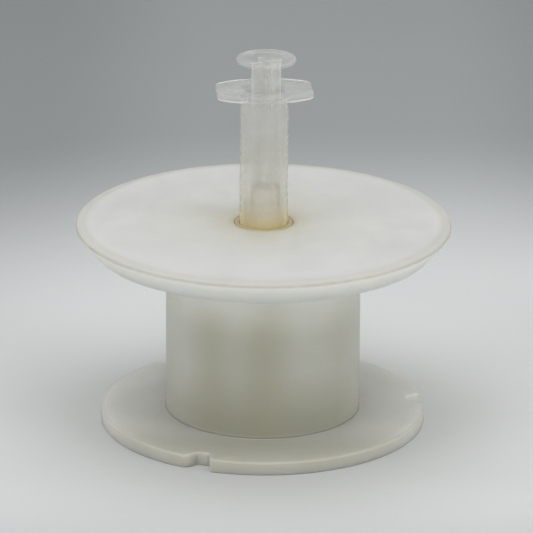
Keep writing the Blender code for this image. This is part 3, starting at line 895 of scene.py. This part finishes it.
def make_barrel(material):
    """Barrel, finger flange and nozzle in one moulding, open from the bore to the nozzle's tip."""
    low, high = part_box("syringe_barrel")
    top = high[2]
    tip = low[2]
    outline = finger_outline()
    angles = angles_with(outline, TUBE_STEPS)
    flange_foot = top - FINGER_THICKNESS
    bore = rounded([
        (NOZZLE_BORE, tip + 0.1 * MM),
        (NOZZLE_BORE, BARREL_FLOOR, 0.2 * MM),
        (BORE_RADIUS, BARREL_FLOOR + 0.15 * MM, 0.5 * MM),
        (BORE_RADIUS, top - 0.8 * MM, 0.8 * MM),
        (BORE_RADIUS + 0.35 * MM, top, 0.25 * MM),
        (BORE_RADIUS + 0.9 * MM, top),
    ], closed=False)
    outside = rounded([
        (BARREL_RADIUS + 0.9 * MM, flange_foot),
        (BARREL_RADIUS, flange_foot, 0.6 * MM),
        (BARREL_RADIUS, BARREL_FOOT, 0.7 * MM),
        (NOZZLE_ROOT, BARREL_FOOT, 0.4 * MM),
        (NOZZLE_TIP, tip, 0.25 * MM),
        (NOZZLE_BORE + 0.1 * MM, tip),
    ], closed=False)
    rings = [ring(r, z, angles) for r, z in bore]
    rings += rim_rings(outline, angles, top, flange_foot, 0.35 * MM, 0.35 * MM)
    rings += [ring(r, z, angles) for r, z in outside]
    mesh = loft("syringe_tube", rings, closed=True)
    add_piece("syringe_tube", mesh, material, "syringe", "clear_plastic", "syringe_barrel")


def cross_outline():
    """Plan of the cross-ribbed rod, with rounded tips and filleted inner corners."""
    span = ROD_SPAN / 2
    half = ROD_FIN / 2
    points = []
    for index in range(4):
        turn = Matrix.Rotation(ROD_TURN + index * math.pi / 2, 2)
        for x, y, corner in ((span, -half, 0.3 * MM), (span, half, 0.3 * MM), (half, half, 0.4 * MM)):
            spot = turn @ Vector((x, y))
            points.append((spot.x, spot.y, corner))
    return rounded(points)


def make_plunger(material):
    """Rod with its dished thumb disc, guide disc, round stem and stud."""
    low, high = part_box("plunger_rod")
    top = high[2]
    radius = (high[0] - low[0]) / 2
    outline = cross_outline()
    angles = angles_with(outline, TUBE_STEPS)
    cross = radii_of(outline, angles)
    fillet = 0.35 * MM
    swollen = radii_of(inset(outline, -fillet), angles)
    dish = top - 0.2 * MM
    disc_foot = top - THUMB_THICKNESS
    guide_top = ROD_DISC_HEIGHT + ROD_DISC_THICKNESS / 2
    guide_foot = guide_top - ROD_DISC_THICKNESS
    stud_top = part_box("plunger_seal")[1][2] + SEAM
    head = rounded([
        (0.4 * MM, dish),
        (radius - 0.8 * MM, dish, 0.3 * MM),
        (radius - 0.55 * MM, top, 0.2 * MM),
        (radius, top, 0.3 * MM),
        (radius, disc_foot, 0.3 * MM),
        (ROD_SPAN / 2 + 0.5 * MM, disc_foot),
    ], closed=False)
    rings = [ring(r, z, angles) for r, z in head]
    rings.append(ring(swollen, disc_foot, angles))
    rings.append(ring(cross, disc_foot - fillet, angles))
    rings.append(ring(cross, guide_top + SUPPORT, angles))
    rings += [ring(ROD_SPAN / 2, z, angles) for z in (guide_top, guide_foot)]
    rings.append(ring(cross, guide_foot - SUPPORT, angles))
    rings.append(ring(cross, STEM_TOP + SUPPORT, angles))
    stem = rounded([
        (STEM_RADIUS - 0.5 * MM, STEM_TOP),
        (STEM_RADIUS, STEM_TOP, 0.15 * MM),
        (STEM_RADIUS, stud_top, 0.2 * MM),
        (STUD_RADIUS, stud_top, 0.1 * MM),
        (STUD_RADIUS, STUD_FOOT, 0.3 * MM),
        (0.3 * MM, STUD_FOOT),
    ], closed=False)
    rings += [ring(r, z, angles) for r, z in stem]
    mesh = loft("plunger_shaft", rings)
    mesh.transform(Matrix.Translation((ROD_LEAN, 0.0, 0.0)))
    add_piece("plunger_shaft", mesh, material, "plunger", "clear_plastic", "plunger_rod")


def make_seal():
    """Head of the plunger, with two lips and a socket for the rod's stud."""
    radius, foot, top = node_sizes("plunger_seal")
    waist = radius - 0.5 * MM
    profile = [
        (0.0, SOCKET_FLOOR),
        (SOCKET_RADIUS, SOCKET_FLOOR, 0.2 * MM),
        (SOCKET_RADIUS, top, 0.15 * MM),
        (radius, top, 0.3 * MM),
        (radius, top - 1.1 * MM, 0.3 * MM),
        (waist, top - 1.5 * MM, 0.4 * MM),
        (waist, foot + 1.5 * MM, 0.4 * MM),
        (radius, foot + 1.1 * MM, 0.3 * MM),
        (radius, foot + 0.3 * MM, 0.2 * MM),
        (0.3 * MM, foot),
        (0.0, foot),
    ]
    pale = soft_rubber("seal_rubber", rgb(0.70, 0.68, 0.62), rgb(0.62, 0.60, 0.54), 0.5 * MM)
    mesh = turned_solid("plunger_head", profile, TUBE_STEPS)
    add_piece("plunger_head", mesh, pale, "plunger", "seal_rubber", "plunger_seal")


# ---------------------------------------------------------------- stage

CAMERA_DISTANCE = 1.187         # metres from the point it is aimed at
CAMERA_PITCH = math.radians(19.49)
CAMERA_ROLL = math.radians(0.375)
CAMERA_LENS = 371.5
CAMERA_AIM_ASIDE = 0.67 * MM    # to the right of the axis
CAMERA_AIM_HEIGHT = 34.58 * MM

FLOOR_HALF = 3.0                # metres
# Floor: a painted pool of light round the reel, with painted shade and shadow farther out
FLOOR_POOL_NEAR = rgb(0.725, 0.737, 0.735)
FLOOR_POOL_MIDDLE = rgb(0.705, 0.722, 0.725)
FLOOR_REAR_SHADE = rgb(0.361, 0.379, 0.379)
FLOOR_REAR_ENDS_SHADE = rgb(0.295, 0.311, 0.311)
FLOOR_SHADE = rgb(0.25, 0.25, 0.25)
FLOOR_CLOUD = rgb(0.2, 0.2, 0.2)


def make_camera():
    """A long lens that looks down at the reel from the front."""
    low, high = CAD_BOUNDS
    target = Vector((
        (low[0] + high[0]) / 2 + CAMERA_AIM_ASIDE,
        (low[1] + high[1]) / 2,
        low[2] + CAMERA_AIM_HEIGHT,
    ))
    data = bpy.data.cameras.new("camera")
    data.lens = CAMERA_LENS
    data.sensor_width = 36.0
    data.clip_start = 0.05
    camera = bpy.data.objects.new("camera", data)
    bpy.context.scene.collection.objects.link(camera)
    turn = Matrix.Rotation(math.pi / 2 - CAMERA_PITCH, 4, "X") @ Matrix.Rotation(CAMERA_ROLL, 4, "Z")
    back = Vector((0.0, -math.cos(CAMERA_PITCH), math.sin(CAMERA_PITCH))) * CAMERA_DISTANCE
    camera.matrix_world = Matrix.Translation(target + back) @ turn
    bpy.context.scene.camera = camera


def floor_paper():
    """Matt paper with a painted pool of light round the reel, and painted shade behind it, beside it
    and at the front edge.
    """
    nodes = Nodes("paper")
    # Painted pool of light, fading into painted shade behind the reel
    away = nodes.away_from(25.0 * MM, -5.0 * MM)
    color = nodes.mix(nodes.ease(away, 52 * MM, 90 * MM, 0.0, 1.0), FLOOR_POOL_NEAR, FLOOR_POOL_MIDDLE)
    beside = nodes.ease(nodes.off(nodes.across, 16 * MM), 28 * MM, 75 * MM, 0.0, 1.0)
    rear = nodes.mix(beside, FLOOR_REAR_SHADE, FLOOR_REAR_ENDS_SHADE)
    color = nodes.mix(nodes.ease(away, 92 * MM, 215 * MM, 0.0, 1.0), color, rear)
    # Painted shadow of the reel at its sides, and painted shade at the front edge
    sides = nodes.ease(nodes.calc("ABSOLUTE", nodes.across), 20 * MM, 55 * MM, 0.0, 0.09)
    nearby = nodes.ease(nodes.along, 100 * MM, 40 * MM, 0.0, 1.0)
    ahead = nodes.ease(nodes.along, -60 * MM, -30 * MM, 0.0, 1.0)
    front = nodes.ease(nodes.along, -38 * MM, -75 * MM, 0.0, 0.14)
    shade = nodes.total(nodes.product(sides, nearby, ahead), front)
    color = nodes.mix(shade, color, FLOOR_SHADE)
    cloud = nodes.spread(nodes.noise(9.0, 2.0), 0.3, 0.7, 0.0, 0.06)
    nodes.set(Base_Color=nodes.mix(cloud, color, FLOOR_CLOUD), Roughness=0.9)
    return nodes.material


def make_floor():
    """A flat sheet just under the reel."""
    mesh = bpy.data.meshes.new("floor")
    corners = [(x * FLOOR_HALF, y * FLOOR_HALF, 0.0) for x, y in ((-1, -1), (1, -1), (1, 1), (-1, 1))]
    mesh.from_pydata(corners, [], [(0, 1, 2, 3)])
    mesh.materials.append(floor_paper())
    floor = bpy.data.objects.new("floor", mesh)
    bpy.context.scene.collection.objects.link(floor)
    floor.location.z = CAD_BOUNDS[0][2] - SEAM


def area_light(name, place, target, size, power):
    """A square soft light."""
    data = bpy.data.lights.new(name, "AREA")
    data.shape = "SQUARE"
    data.size = size
    data.energy = power
    light = bpy.data.objects.new(name, data)
    bpy.context.scene.collection.objects.link(light)
    light.location = place
    aim = Vector(target) - Vector(place)
    light.rotation_euler = aim.to_track_quat("-Z", "Y").to_euler()


def make_lights():
    """A large soft light overhead, weak ones behind, in front and at the sides."""
    floor = (0.0, 0.0, 0.0)
    drum = (0.0, 0.0, 0.03)
    area_light("overhead", (0.0, -0.05, 0.75), floor, 0.9, 5.9)
    area_light("back_fill", (0.0, 0.55, 0.65), floor, 0.5, 0.9)
    area_light("front_fill", (0.0, -1.2, 0.3), drum, 0.6, 2.3)
    area_light("right_fill", (1.1, -0.5, 0.3), drum, 0.6, 3.2)
    area_light("left_fill", (-1.1, -0.5, 0.3), drum, 0.6, 3.0)
    world = bpy.data.worlds.new("surround")
    world.use_nodes = True
    surround = world.node_tree.nodes["Background"]
    surround.inputs["Color"].default_value = rgb(1.0, 1.0, 1.0)
    surround.inputs["Strength"].default_value = 0.02
    bpy.context.scene.world = world
    bpy.context.scene.view_settings.view_transform = "Standard"


def main():
    """Build every piece, then the stage."""
    make_base()
    make_drum()
    guide = milky_plastic("guide_plastic", rgb(0.80, 0.76, 0.62), rgb(0.72, 0.66, 0.50), 3 * MM)
    make_guide(guide)
    make_seat(guide)
    make_lid()
    make_grommet()
    make_barrel(barrel_plastic())
    make_plunger(rod_plastic())
    make_seal()
    make_camera()
    make_floor()
    make_lights()


main()
